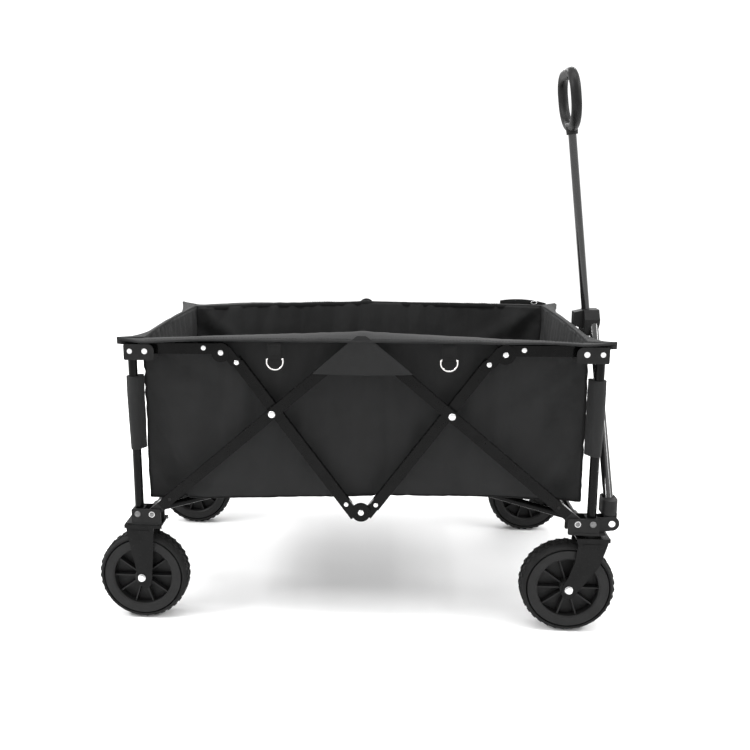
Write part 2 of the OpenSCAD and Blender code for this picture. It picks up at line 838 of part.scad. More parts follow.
module link_b_front_near() { color([0.035, 0.035, 0.037]) at(1, -1) link_b(-1); }
module link_b_rear_far() { color([0.035, 0.035, 0.037]) at(-1, 1) link_b(1); }
module link_b_front_far() { color([0.035, 0.035, 0.037]) at(1, 1) link_b(-1); }
module rail_rear_near() { color([0.035, 0.035, 0.037]) at(-1, -1) rail(); }
module rail_front_near() { color([0.035, 0.035, 0.037]) at(1, -1) rail(); }
module rail_rear_far() { color([0.035, 0.035, 0.037]) at(-1, 1) rail(); }
module rail_front_far() { color([0.035, 0.035, 0.037]) at(1, 1) rail(); }
module floor_frame_rear() { color([0.035, 0.035, 0.037]) at(-1, 1) floor_frame(); }
module floor_frame_front() { color([0.035, 0.035, 0.037]) at(1, 1) floor_frame(); }
module bag_near() { color([0.045, 0.045, 0.048]) at(1, -1) bag_side(); }
module bag_far() { color([0.045, 0.045, 0.048]) at(1, 1) bag_side(); }
module bag_rear() { color([0.045, 0.045, 0.048]) at(-1, 1) bag_end(); }
module bag_front() { color([0.045, 0.045, 0.048]) at(1, 1) bag_end(); }
module bag_floor() { color([0.04, 0.04, 0.043]) at(1, 1) bag_base(); }
module straps_rear() { color([0.02, 0.02, 0.02]) strap_pair(-1); }
module straps_front() { color([0.02, 0.02, 0.02]) strap_pair(1); }
module ring_rear_near() { color([0.75, 0.74, 0.72]) at(-1, -1) d_ring(); }
module ring_rear_far() { color([0.75, 0.74, 0.72]) at(-1, 1) d_ring(); }
module ring_front_near() { color([0.75, 0.74, 0.72]) at(1, -1) d_ring(); }
module ring_front_far() { color([0.75, 0.74, 0.72]) at(1, 1) d_ring(); }
module handle_legs() { color([0.06, 0.06, 0.06]) at(1, 1) legs(); }
module handle_feet() { color([0.04, 0.04, 0.042]) at(1, 1) feet(); }
module handle_hub() { color([0.04, 0.04, 0.042]) at(1, 1) hub_block(); }
module handle_tube() { color([0.06, 0.06, 0.06]) at(1, 1) upper_tube(); }
module handle_grip() { color([0.03, 0.03, 0.03]) at(1, 1) grip(); }

rear_posts();
rear_crossbars();
rear_top_brackets();
rear_bottom_brackets();
rear_rivets();
rear_forks();
rear_axles();
front_posts();
front_crossbars();
front_top_brackets();
front_bottom_brackets();
front_rivets();
caster_fork_near();
caster_fork_far();
front_axle_near();
front_axle_far();
tyre_rear_near();
tyre_rear_far();
tyre_front_near();
tyre_front_far();
wheel_rear_near();
wheel_rear_far();
wheel_front_near();
wheel_front_far();
link_a_rear_near();
link_a_front_near();
link_a_rear_far();
link_a_front_far();
plugs_a_rear_near();
plugs_a_front_near();
plugs_a_rear_far();
plugs_a_front_far();
link_b_rear_near();
link_b_front_near();
link_b_rear_far();
link_b_front_far();
rail_rear_near();
rail_front_near();
rail_rear_far();
rail_front_far();
floor_frame_rear();
floor_frame_front();
bag_near();
bag_far();
bag_rear();
bag_front();
bag_floor();
straps_rear();
straps_front();
ring_rear_near();
ring_rear_far();
ring_front_near();
ring_front_far();
handle_legs();
handle_feet();
handle_hub();
handle_tube();
handle_grip();
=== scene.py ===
import math
import bpy
import bmesh
import numpy as np
from mathutils import Vector, Matrix, noise


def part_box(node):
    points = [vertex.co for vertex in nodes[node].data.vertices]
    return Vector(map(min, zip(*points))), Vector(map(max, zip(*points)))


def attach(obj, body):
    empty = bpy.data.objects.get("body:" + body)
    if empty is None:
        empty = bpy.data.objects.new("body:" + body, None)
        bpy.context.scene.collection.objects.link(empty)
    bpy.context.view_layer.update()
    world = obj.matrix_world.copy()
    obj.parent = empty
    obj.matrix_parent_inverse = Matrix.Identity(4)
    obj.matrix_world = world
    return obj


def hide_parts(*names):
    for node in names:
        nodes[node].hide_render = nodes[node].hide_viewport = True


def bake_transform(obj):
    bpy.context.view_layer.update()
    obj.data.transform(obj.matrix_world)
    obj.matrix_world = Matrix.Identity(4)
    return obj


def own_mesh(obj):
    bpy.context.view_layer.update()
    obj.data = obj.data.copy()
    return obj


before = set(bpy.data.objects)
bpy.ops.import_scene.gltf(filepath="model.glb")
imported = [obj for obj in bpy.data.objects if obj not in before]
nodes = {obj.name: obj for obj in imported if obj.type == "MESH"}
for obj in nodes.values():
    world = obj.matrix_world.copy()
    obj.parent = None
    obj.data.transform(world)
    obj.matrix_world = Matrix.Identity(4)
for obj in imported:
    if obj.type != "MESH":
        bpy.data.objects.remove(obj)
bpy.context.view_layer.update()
scene = bpy.context.scene

# ---------------------------------------------------------------- sizes
floor_lo, floor_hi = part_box("bag_floor")
X0 = (floor_lo[0] + floor_hi[0]) / 2
BX = (floor_hi[0] - floor_lo[0]) / 2
side_lo, side_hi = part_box("bag_far")
# cloth box: half width, half length, height of its flat floor; half length of the side rims at their tips
WALL_Y = 0.2348
END_X = BX + 0.0022
FLOOR_Z = floor_hi[2] - 0.0015
TIP_X = (side_hi[0] - side_lo[0]) / 2 + 0.003


# ---------------------------------------------------------------- materials
def new_material(name):
    """A node material with its tree and its shader."""
    m = bpy.data.materials.new(name)
    m.use_nodes = True
    tree = m.node_tree
    return m, tree, tree.nodes["Principled BSDF"]


def link(tree, a, out, b, into):
    """Joins one node's output to another's input."""
    tree.links.new(a.outputs[out], b.inputs[into])


def add(tree, kind, **values):
    """A new node with its inputs or settings filled in."""
    n = tree.nodes.new(kind)
    for k, v in values.items():
        if k in n.inputs:
            n.inputs[k].default_value = v
        else:
            setattr(n, k, v)
    return n


def ramp(tree, low, high, a=0.3, b=0.7):
    """Colour ramp from low at a to high at b."""
    r = tree.nodes.new("ShaderNodeValToRGB")
    r.color_ramp.elements[0].position = a
    r.color_ramp.elements[0].color = low
    r.color_ramp.elements[1].position = b
    r.color_ramp.elements[1].color = high
    return r


def grey(v, warm=0.0):
    """Grey of value v, tinted towards red by warm or towards blue where warm is negative."""
    return (v * (1 + warm), v, v * (1 - warm), 1)


def painted(name, dark, light, rough=(0.22, 0.34), metallic=0.0, coat=0.0, spec=0.22):
    """Smooth paint: faint patchiness in colour and gloss, a trace of orange peel."""
    m, t, p = new_material(name)
    co = add(t, "ShaderNodeTexCoord")
    n = add(t, "ShaderNodeTexNoise", Scale=38.0, Detail=6.0, Roughness=0.6)
    link(t, co, "Object", n, "Vector")
    c = ramp(t, dark, light)
    link(t, n, "Fac", c, "Fac")
    link(t, c, "Color", p, "Base Color")
    n2 = add(t, "ShaderNodeTexNoise", Scale=160.0, Detail=4.0)
    link(t, co, "Object", n2, "Vector")
    r = add(t, "ShaderNodeMapRange")
    r.inputs["To Min"].default_value, r.inputs["To Max"].default_value = rough
    link(t, n2, "Fac", r, "Value")
    link(t, r, "Result", p, "Roughness")
    peel = add(t, "ShaderNodeTexNoise", Scale=900.0, Detail=2.0)
    link(t, co, "Object", peel, "Vector")
    b = add(t, "ShaderNodeBump", Strength=0.06, Distance=0.0003)
    link(t, peel, "Fac", b, "Height")
    link(t, b, "Normal", p, "Normal")
    p.inputs["Metallic"].default_value = metallic
    p.inputs["Coat Weight"].default_value = coat
    p.inputs["Coat Roughness"].default_value = 0.12
    p.inputs["Specular IOR Level"].default_value = spec
    return m


def moulded(name, dark, light, rough=(0.42, 0.58), grain=1500.0, depth=0.22, spec=0.14):
    """Moulded plastic or rubber with a fine grain."""
    m, t, p = new_material(name)
    co = add(t, "ShaderNodeTexCoord")
    n = add(t, "ShaderNodeTexNoise", Scale=55.0, Detail=8.0, Roughness=0.65)
    link(t, co, "Object", n, "Vector")
    c = ramp(t, dark, light)
    link(t, n, "Fac", c, "Fac")
    link(t, c, "Color", p, "Base Color")
    r = add(t, "ShaderNodeMapRange")
    r.inputs["To Min"].default_value, r.inputs["To Max"].default_value = rough
    link(t, n, "Fac", r, "Value")
    link(t, r, "Result", p, "Roughness")
    g = add(t, "ShaderNodeTexVoronoi", Scale=grain)
    link(t, co, "Object", g, "Vector")
    b = add(t, "ShaderNodeBump", Strength=depth, Distance=0.0003)
    link(t, g, "Distance", b, "Height")
    link(t, b, "Normal", p, "Normal")
    p.inputs["Specular IOR Level"].default_value = spec
    return m


def metal(name, low, high, rough=(0.18, 0.34), brushed=220.0):
    """Bare metal with fine mottling in colour, gloss and surface."""
    m, t, p = new_material(name)
    co = add(t, "ShaderNodeTexCoord")
    n = add(t, "ShaderNodeTexNoise", Scale=brushed, Detail=8.0, Roughness=0.7)
    link(t, co, "Object", n, "Vector")
    c = ramp(t, low, high)
    link(t, n, "Fac", c, "Fac")
    link(t, c, "Color", p, "Base Color")
    r = add(t, "ShaderNodeMapRange")
    r.inputs["To Min"].default_value, r.inputs["To Max"].default_value = rough
    link(t, n, "Fac", r, "Value")
    link(t, r, "Result", p, "Roughness")
    b = add(t, "ShaderNodeBump", Strength=0.12, Distance=0.0002)
    link(t, n, "Fac", b, "Height")
    link(t, b, "Normal", p, "Normal")
    p.inputs["Metallic"].default_value = 1.0
    return m


def woven(
    name, dark, light, axes=("X", "Z"), pitch=0.0009, strength=0.5, sheen=0.03, rough=(0.58, 0.80), spec=0.08
):
    """Woven cloth: two crossed rows of threads, slubs, and a soft drift of colour."""
    m, t, p = new_material(name)
    co = add(t, "ShaderNodeTexCoord")
    jitter = add(t, "ShaderNodeTexNoise", Scale=420.0, Detail=2.0)
    link(t, co, "Object", jitter, "Vector")
    waves = []
    for a in axes:
        w = add(t, "ShaderNodeTexWave", Scale=0.5 / pitch, Distortion=1.2, Detail=1.0)
        w.bands_direction = a
        w.inputs["Detail Scale"].default_value = 2.0
        link(t, co, "Object", w, "Vector")
        waves.append(w)
    mul = add(t, "ShaderNodeMath", operation="MAXIMUM")
    t.links.new(waves[0].outputs["Fac"], mul.inputs[0])
    t.links.new(waves[1].outputs["Fac"], mul.inputs[1])
    slub = add(t, "ShaderNodeMath", operation="MULTIPLY_ADD")
    t.links.new(jitter.outputs["Fac"], slub.inputs[0])
    slub.inputs[1].default_value = 0.6
    t.links.new(mul.outputs["Value"], slub.inputs[2])
    b = add(t, "ShaderNodeBump", Strength=strength, Distance=0.0004)
    link(t, slub, "Value", b, "Height")
    link(t, b, "Normal", p, "Normal")
    drift = add(t, "ShaderNodeTexNoise", Scale=7.0, Detail=8.0, Roughness=0.62)
    link(t, co, "Object", drift, "Vector")
    mix = add(t, "ShaderNodeMath", operation="MULTIPLY_ADD")
    t.links.new(mul.outputs["Value"], mix.inputs[0])
    mix.inputs[1].default_value = 0.35
    t.links.new(drift.outputs["Fac"], mix.inputs[2])
    c = ramp(t, dark, light, 0.35, 0.95)
    t.links.new(mix.outputs["Value"], c.inputs["Fac"])
    link(t, c, "Color", p, "Base Color")
    r = add(t, "ShaderNodeMapRange")
    r.inputs["To Min"].default_value, r.inputs["To Max"].default_value = rough
    link(t, drift, "Fac", r, "Value")
    link(t, r, "Result", p, "Roughness")
    p.inputs["Specular IOR Level"].default_value = spec
    p.inputs["Sheen Weight"].default_value = sheen
    p.inputs["Sheen Roughness"].default_value = 0.5
    return m


M = {
    "tube": painted("black_paint", grey(0.0016), grey(0.0034), (0.12, 0.20), spec=0.09),
    "fork": painted("fork_paint", grey(0.0030), grey(0.0060), (0.20, 0.32), spec=0.10),
    "gloss": painted("polished_black", grey(0.007), grey(0.012), (0.10, 0.20), coat=0.5, spec=0.5),
    "plastic": moulded("black_plastic", grey(0.006), grey(0.011)),
    "hubs": moulded("wheel_plastic", grey(0.009), grey(0.015), (0.40, 0.55)),
    "tyre": moulded("tyre_rubber", grey(0.008), grey(0.016), (0.62, 0.85), 1100.0, 0.3, 0.08),
    "grip": moulded("grip_rubber", grey(0.005), grey(0.010), (0.38, 0.52), 1800.0, 0.18),
    "rivet": metal("rivet_steel", grey(0.55), grey(0.74)),
    "dull": metal("dull_steel", grey(0.10), grey(0.20), (0.35, 0.55)),
    "ring": metal("nickel", grey(0.55, 0.02), grey(0.76, 0.02), (0.16, 0.28)),
    "cloth_side": woven("cloth_side", grey(0.0085), grey(0.0165, -0.015), ("X", "Z"), spec=0.14),
    # lighter copy of the side cloth: painted light on the end walls and their hems, which are the same
    # fabric
    "cloth_end_painted_lighter": woven("cloth_end_painted_lighter", grey(0.0105), grey(0.0200, -0.015), ("Y", "Z"), spec=0.14),
    "cloth_flat": woven("cloth_flat", grey(0.0090), grey(0.0170), ("X", "Y")),
    "webbing": woven("webbing", grey(0.004), grey(0.009), ("X", "Z"), 0.0016, 0.9, 0.02),
    "thread": woven("thread", grey(0.006), grey(0.014), ("X", "Z"), 0.0004, 0.4, 0.02),
}


def node_material(n):
    """Which material a CAD node takes, by its name."""
    if n.endswith(("posts", "crossbars")) or n.startswith(("link_", "rail_", "floor_frame")):
        return "tube"
    if "bracket" in n or n.startswith("plugs") or n in ("handle_feet", "handle_hub"):
        return "plastic"
    if "rivets" in n or "axle" in n:
        return "rivet"
    if n.startswith("tyre"):
        return "tyre"
    if n.startswith("wheel"):
        return "hubs"
    if n.startswith("ring"):
        return "ring"
    if n in ("handle_tube", "handle_legs"):
        return "gloss"
    if "fork" in n:
        return "fork"
    if n == "handle_grip":
        return "grip"
    return "cloth_side"


def finish_node(name, width=0.0007, angle=32):
    """Material, rounded edges and smooth shading for a CAD node."""
    o = nodes[name]
    o.data.materials.clear()
    o.data.materials.append(M[node_material(name)])
    for p in o.data.polygons:
        p.use_smooth = True
    if width:
        b = o.modifiers.new("edges", "BEVEL")
        b.width = width
        b.segments = 2
        b.limit_method = "ANGLE"
        b.angle_limit = math.radians(angle)
        b.harden_normals = True
        b.use_clamp_overlap = True


for n in nodes:
    finish_node(n, 0.0014 if n.startswith(("link_", "rail_")) else 0.0007)


# ---------------------------------------------------------------- mesh helpers
def make(name, verts, faces, mat, body, smooth=True):
    """Mesh object with a material, riding on a body if one is named."""
    me = bpy.data.meshes.new(name)
    me.from_pydata([tuple(v) for v in verts], [], faces)
    me.validate()
    me.update()
    o = bpy.data.objects.new(name, me)
    scene.collection.objects.link(o)
    me.materials.append(M[mat])
    for p in me.polygons:
        p.use_smooth = smooth
    if body:
        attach(o, body)
    return o


def loft(name, rings, mat, body, closed_ends=True):
    """Closed skin through rings of points of equal count."""
    n = len(rings[0])
    verts = [p for ring in rings for p in ring]
    faces = []
    for i in range(len(rings) - 1):
        for j in range(n):
            a, b = i * n + j, i * n + (j + 1) % n
            faces.append((a, b, b + n, a + n))
    if closed_ends:
        faces.append(tuple(reversed(range(n))))
        faces.append(tuple(range((len(rings) - 1) * n, len(rings) * n)))
    o = make(name, verts, faces, mat, body)
    bm = bmesh.new()
    bm.from_mesh(o.data)
    bmesh.ops.recalc_face_normals(bm, faces=bm.faces)
    bm.to_mesh(o.data)
    bm.free()
    return o


def apply_modifiers(o):
    """Bakes the modifiers into the mesh."""
    dg = bpy.context.evaluated_depsgraph_get()
    me = bpy.data.meshes.new_from_object(o.evaluated_get(dg))
    o.modifiers.clear()
    o.data = me


# ---------------------------------------------------------------- camera, light, floor
def camera():
    """Camera with the photograph's estimated view."""
    yaw, pitch, roll = -0.08, 0.1943, -0.00727
    f = Vector((math.sin(yaw), math.cos(yaw), 0))
    r = Vector((math.cos(yaw), -math.sin(yaw), 0))
    z = Vector((0, 0, 1))
    fwd = f * math.cos(pitch) - z * math.sin(pitch)
    up = f * math.sin(pitch) + z * math.cos(pitch)
    right = r * math.cos(roll) + up * math.sin(roll)
    up = -r * math.sin(roll) + up * math.cos(roll)
    cam = bpy.data.cameras.new("camera")
    o = bpy.data.objects.new("camera", cam)
    scene.collection.objects.link(o)
    m = Matrix((right, up, -fwd)).transposed().to_4x4()
    m.translation = Vector((X0 + 0.0344, -1.7926, 0.8362))
    o.matrix_world = m
    cam.sensor_width = 36
    cam.lens = 41.125
    cam.shift_x = 0.0827
    cam.shift_y = -0.0287
    cam.clip_start, cam.clip_end = 0.05, 60
    scene.camera = o


def area_light(name, loc, target, size, power, size_y=None):
    """Area light at loc, facing target."""
    d = bpy.data.lights.new(name, "AREA")
    d.energy = power
    d.size = size
    if size_y:
        d.shape = "RECTANGLE"
        d.size_y = size_y
    o = bpy.data.objects.new(name, d)
    scene.collection.objects.link(o)
    o.location = loc
    o.rotation_euler = (Vector(target) - Vector(loc)).to_track_quat("-Z", "Y").to_euler()


def studio():
    """White surround, four area lights and a pale floor."""
    world = bpy.data.worlds.new("studio")
    scene.world = world
    world.use_nodes = True
    bg = world.node_tree.nodes["Background"]
    bg.inputs["Color"].default_value = (1, 1, 1, 1)
    bg.inputs["Strength"].default_value = 1.2
    area_light("top_strip", (0, -0.5, 3.0), (0, -0.2, 0.4), 3.4, 62, 0.35)
    area_light("left_strip", (-2.7, -0.7, 2.3), (-0.2, -0.2, 0.4), 2.0, 78, 0.5)
    area_light("right_strip", (2.7, -0.6, 2.2), (0.2, -0.2, 0.4), 2.0, 46, 0.5)
    area_light("back", (0.3, 2.6, 2.2), (0, 0, 0.5), 2.4, 34, 0.3)
    me = bpy.data.meshes.new("floor")
    s = 14
    me.from_pydata([(-s, -s, 0), (s, -s, 0), (s, s, 0), (-s, s, 0)], [], [(0, 1, 2, 3)])
    o = bpy.data.objects.new("floor", me)
    scene.collection.objects.link(o)
    m, t, p = new_material("floor_paper")
    co = add(t, "ShaderNodeTexCoord")
    n = add(t, "ShaderNodeTexNoise", Scale=3.0, Detail=3.0)
    link(t, co, "Object", n, "Vector")
    c = ramp(t, grey(0.93), grey(0.96))
    link(t, n, "Fac", c, "Fac")
    link(t, c, "Color", p, "Base Color")
    p.inputs["Roughness"].default_value = 0.9
    p.inputs["Specular IOR Level"].default_value = 0.1
    me.materials.append(m)
    scene.view_settings.view_transform = "Standard"


camera()
studio()

# ---------------------------------------------------------------- cloth basket
# cells along, across and up the cloth
NX, NY, NZ = 84, 48, 30
# how far out a side wall may reach, how far inside its plane it may lie, and the cloth's thickness
REACH_Y, SLACK_Y, THICK = 0.2378, 0.020, 0.0012
# heights along the wagon as (x, z): the two rims, the hems' lower edge, the side walls' lower edge
RIM_NEAR = ((-0.411, 0.556), (-0.29, 0.5605), (0, 0.5705), (0.161, 0.563), (0.403, 0.552))
RIM_FAR = ((-0.432, 0.549), (-0.283, 0.557), (0, 0.5645), (0.317, 0.559), (0.411, 0.555))
HEM_EDGE = (
    (-0.449, 0.5585), (-0.404, 0.551), (-0.308, 0.557), (0.352, 0.554), (0.404, 0.551), (0.449, 0.555)
)
BOTTOM = ((-0.41, 0.242), (-0.31, 0.241), (-0.12, 0.247), (0.07, 0.2525), (0.26, 0.254), (0.41, 0.251))
SEAM_W = 0.045
# length of the cloth simulation
FRAMES = 24
# tension folds in a wall: where each starts and ends as (x, z), its width and its depth
CREASES = (
    ((-0.40, 0.545), (-0.22, 0.44), 0.017, 0.0034), ((-0.40, 0.43), (-0.27, 0.47), 0.014, 0.0026),
    ((-0.40, 0.285), (-0.24, 0.262), 0.011, 0.0028), ((-0.39, 0.33), (-0.30, 0.27), 0.012, 0.0024),
    ((-0.06, 0.49), (-0.20, 0.33), 0.020, 0.0026), ((0.06, 0.49), (0.15, 0.31), 0.020, 0.0026),
    ((0.40, 0.53), (0.24, 0.42), 0.017, 0.0034), ((0.40, 0.46), (0.30, 0.33), 0.015, 0.0026),
    ((0.40, 0.28), (0.27, 0.265), 0.011, 0.0024), ((0.02, 0.35), (0.03, 0.27), 0.018, 0.0018),
)


def profile(points, x, blur=0.025):
    """Height at x of a line through a few points, eased over blur metres each way."""
    at = np.linspace(x - blur, x + blur, 9)
    return float(np.mean(np.interp(at, [q[0] for q in points], [q[1] for q in points])))


def rim_height(x, y):
    """Height of the basket's top edge; the far rim is a little lower than the near one."""
    far = (y + WALL_Y) / (2 * WALL_Y)
    hump = 0.005 * math.sin(math.pi * far) * max(0, abs(x) / END_X - 0.9) * 10
    return (1 - far) * profile(RIM_NEAR, x) + far * profile(RIM_FAR, x) + hump - 0.003


def floor_height(x, y):
    """The floor lies flat and drops to the side walls' lower edge near its border."""
    d = min(END_X - abs(x), WALL_Y - abs(y))
    drop = max(0, 1 - d / SEAM_W) ** 2
    return FLOOR_Z - (FLOOR_Z - profile(BOTTOM, x)) * drop


def bag_shell():
    """Open box grid: four walls as one loop, and the floor on the same bottom edge."""
    loop = [(-END_X + 2 * END_X * i / NX, -WALL_Y) for i in range(NX)]
    loop += [(END_X, -WALL_Y + 2 * WALL_Y * i / NY) for i in range(NY)]
    loop += [(END_X - 2 * END_X * i / NX, WALL_Y) for i in range(NX)]
    loop += [(-END_X, WALL_Y - 2 * WALL_Y * i / NY) for i in range(NY)]
    n = len(loop)
    verts, faces = [], []
    for k in range(NZ + 1):
        for x, y in loop:
            low, high = floor_height(x, y), rim_height(x, y)
            verts.append((X0 + x, y, low + (high - low) * k / NZ))
    for k in range(NZ):
        for j in range(n):
            a, b = k * n + j, k * n + (j + 1) % n
            faces.append((a, b, b + n, a + n))
    index = {}
    for j, (x, y) in enumerate(loop):
        i = round((x + END_X) / (2 * END_X) * NX)
        q = round((y + WALL_Y) / (2 * WALL_Y) * NY)
        index[(i, q)] = j
    for i in range(NX + 1):
        for q in range(NY + 1):
            if (i, q) not in index:
                index[(i, q)] = len(verts)
                x, y = -END_X + 2 * END_X * i / NX, -WALL_Y + 2 * WALL_Y * q / NY
                verts.append((X0 + x, y, floor_height(x, y)))
    for i in range(NX):
        for q in range(NY):
            faces.append((index[(i, q)], index[(i, q + 1)], index[(i + 1, q + 1)], index[(i + 1, q)]))
    return verts, faces, n


def simulate(verts, faces, pins):
    """Lets the slack cloth fall and crease with its edges held, and returns where the points end."""
    me = bpy.data.meshes.new("sim")
    me.from_pydata(verts, [], faces)
    o = bpy.data.objects.new("sim", me)
    scene.collection.objects.link(o)
    g = o.vertex_groups.new(name="pin")
    for i, w in pins.items():
        g.add([i], w, "REPLACE")
    mod = o.modifiers.new("cloth", "CLOTH")
    c = mod.settings
    c.quality = 5
    c.mass = 0.25
    c.tension_stiffness = 25
    c.compression_stiffness = 25
    c.shear_stiffness = 12
    c.bending_stiffness = 0.9
    c.air_damping = 3
    c.tension_damping = 15
    c.vertex_group_mass = "pin"
    c.pin_stiffness = 5
    c.shrink_min = -0.020
    mod.collision_settings.use_collision = False
    mod.collision_settings.use_self_collision = False
    mod.point_cache.frame_start, mod.point_cache.frame_end = 1, FRAMES
    for f in range(1, FRAMES + 1):
        scene.frame_set(f)
    dg = bpy.context.evaluated_depsgraph_get()
    out = [v.co.copy() for v in o.evaluated_get(dg).data.vertices]
    scene.frame_set(1)
    bpy.data.objects.remove(o)
    return out


shell_verts, shell_faces, LOOP = bag_shell()
WALLS = LOOP * (NZ + 1)


def crease_depth(x, z):
    """Soft ridges that pull from the corners and the middle hinge."""
    total = 0.0
    for (ax, az), (bx, bz), width, depth in CREASES:
        dx, dz = bx - ax, bz - az
        t = ((x - ax) * dx + (z - az) * dz) / (dx * dx + dz * dz)
        inside = max(0.0, min(1.0, t))
        off = math.hypot(x - ax - dx * inside, z - az - dz * inside)
        fade = math.sin(math.pi * (0.15 + 0.85 * inside)) if 0 < t < 1 else 0.4
        total += depth * fade * math.exp(-((off / width) ** 2))
    return total


def relief(x, z, y):
    """How far the cloth lies inside its flat plane: the creases, broad slack and small wrinkles."""
    held = min(1.0, max(0.0, (rim_height(x, y) - z) / 0.05))
    slack = 0.0042 * (noise.noise(Vector((x * 5.5 + z * 4, z * 6 - x * 3, 4 + y * 3))) + 0.5)
    wrinkle = 0.0022 * abs(noise.noise(Vector((x * 11 + z * 13, z * 21 - x * 9, 8 + y * 3))))
    return 1.7 * crease_depth(x if y < 0 else -x, z) + held * (slack + wrinkle)


def bag_points():
    """Where the cloth settles, kept inside the room between the frame's links."""
    rng = np.random.default_rng(7)
    pins, start = {}, []
    for i, (x, y, z) in enumerate(shell_verts):
        row = i // LOOP if i < WALLS else -1
        corner = END_X - abs(x - X0) < 0.004 and abs(y) > WALL_Y - 0.004
        if row == NZ:
            pins[i] = 1.0
        elif corner:
            pins[i] = 1.0 if 8 < row < 22 else 0.6
        elif row == 0:
            pins[i] = 0.12
        elif row < 0:
            pins[i] = 0.10
        push = 0.0012 * noise.noise(Vector((x * 9, y * 9, z * 9 + 3)))
        push += 0.0004 * float(rng.standard_normal()) - 0.0015
        nx = math.copysign(1, x - X0) if row >= 0 and END_X - abs(x - X0) < 0.001 else 0
        ny = math.copysign(1, y) if row >= 0 and abs(y) > WALL_Y - 0.001 else 0
        start.append((x + nx * push, y + ny * push, z + (push if row < 0 else 0)))
    out = simulate(start, shell_faces, pins)
    for i, q in enumerate(out):
        x, y, z = shell_verts[i]
        if i < WALLS and abs(y) > WALL_Y - 0.001:
            reach = abs(q.y) + 0.0012 - relief(x - X0, z, y)
            q.y = math.copysign(min(max(reach, WALL_Y - SLACK_Y), REACH_Y), y)
        if i < WALLS and END_X - abs(x - X0) < 0.001:
            side_slack = relief(y, z, x - X0) * min(1, (WALL_Y - abs(y)) / 0.04) if abs(y) < WALL_Y else 0
            q.x = X0 + math.copysign(min(abs(q.x - X0) - side_slack, END_X + 0.0015), x - X0)
        q.z = max(q.z, z - 0.0015)
    return out


pts = bag_points()


def thicken(o, thickness, level=1):
    """Subdivides a sheet, gives it its thickness and smooths it."""
    if level:
        sub = o.modifiers.new("smooth", "SUBSURF")
        sub.levels = sub.render_levels = level
    solid = o.modifiers.new("thick", "SOLIDIFY")
    solid.thickness = thickness
    solid.offset = 0
    apply_modifiers(o)
    for f in o.data.polygons:
        f.use_smooth = True


def wall_piece(name, cols, mat, body):
    """One wall of the settled cloth, from the loop columns named."""
    n = len(cols)
    verts = [pts[k * LOOP + c % LOOP] for k in range(NZ + 1) for c in cols]
    faces = []
    for k in range(NZ):
        for j in range(n - 1):
            a = k * n + j
            faces.append((a, a + 1, a + 1 + n, a + n))
    o = make(name, verts, faces, mat, body)
    thicken(o, THICK)
    return o


near = wall_piece("side_near", list(range(0, NX + 1)), "cloth_side", "rear_frame")
# the end walls take the lighter cloth copy, which is painted light
front = wall_piece("end_front", list(range(NX, NX + NY + 1)), "cloth_end_painted_lighter", "front_frame")
far = wall_piece("side_far", list(range(NX + NY, 2 * NX + NY + 1)), "cloth_side", "rear_frame")
rear = wall_piece("end_rear", list(range(2 * NX + NY, 2 * NX + 2 * NY + 1)), "cloth_end_painted_lighter", "rear_frame")


def floor_piece():
    """The basket's floor, from the settled cloth."""
    used, faces = {}, []
    for f in shell_faces[LOOP * NZ:]:
        for i in f:
            used.setdefault(i, len(used))
        faces.append(tuple(used[i] for i in f))
    o = make("floor_cloth", [pts[i] for i in used], faces, "cloth_flat", "rear_frame")
    thicken(o, THICK, 0)
    return o


base = floor_piece()


def tube_along(name, path, radius, mat, body, sides=8):
    """Round bead through points, with its ends closed."""
    rings = []
    for i, q in enumerate(path):
        q = Vector(q)
        step = (Vector(path[min(i + 1, len(path) - 1)]) - Vector(path[max(i - 1, 0)])).normalized()
        a = step.orthogonal() if i == 0 else (across - step * across.dot(step))
        across = a.normalized()
        b = step.cross(across)
        turn = [2 * math.pi * j / sides for j in range(sides)]
        rings.append([q + (across * math.cos(t) + b * math.sin(t)) * radius for t in turn])
    return loft(name, rings, mat, body)


def seam_column(name, col, body):
    """Bound seam that runs down a corner of the basket."""
    path = [pts[k * LOOP + col % LOOP] for k in range(NZ + 1)]
    return tube_along(name, path, 0.0021, "webbing", body)


corner_seams = [
    seam_column("seam_rear_near", 0, "rear_frame"),
    seam_column("seam_front_near", NX, "front_frame"),
    seam_column("seam_front_far", NX + NY, "front_frame"),
    seam_column("seam_rear_far", 2 * NX + NY, "rear_frame"),
]
bottom_near = tube_along(
    "seam_bottom_near", [pts[c] for c in range(0, NX + 1)], 0.0018, "webbing", "rear_frame"
)
bottom_far = tube_along(
    "seam_bottom_far", [pts[c] for c in range(NX + NY, 2 * NX + NY + 1)], 0.0018, "webbing", "rear_frame"
)


# ---------------------------------------------------------------- rim
# y of the side hems' inner edge, of the same edge at its tips, and of the outer edge
HEM_IN, HEM_TIP, HEM_OUT = 0.2336, 0.2684, 0.2692
# added to the height of the far hem's lower edge, and to that of its stitches, which drop less
FAR_DROP, STITCH_DROP = -0.006, -0.004


def section(y_in, z_in, y_out, z_low):
    """Closed cross-section of the folded hem: it slopes outwards and turns down at its outer edge."""
    t, n = 0.0022, 12
    lip = 0.0042
    out = []
    for k in range(n + 1):
        u = k / n
        dome = 0.0014 * math.sin(math.pi * u) - 0.0012 * max(0, (u - 0.82) / 0.18) ** 2
        out.append((y_in + (y_out - y_in) * u, z_in + (z_low + lip - z_in) * u + dome))
    out.append((y_out + 0.0003, z_low + lip * 0.5))
    out.append((y_out - 0.0008, z_low))
    out.append((y_out - t, z_low + 0.0004))
    out.append((y_out - t - 0.0004, z_low + lip * 0.45))
    out.append((y_in + (y_out - y_in) * 0.45, (z_in + z_low + lip) / 2 - 0.0026))
    out.append((y_in + t * 0.9, z_in - 0.0030))
    out.append((y_in + t * 0.7, z_in - 0.0120))
    out.append((y_in, z_in - 0.0110))
    out.append((y_in - 0.0004, z_in - 0.0020))
    return out


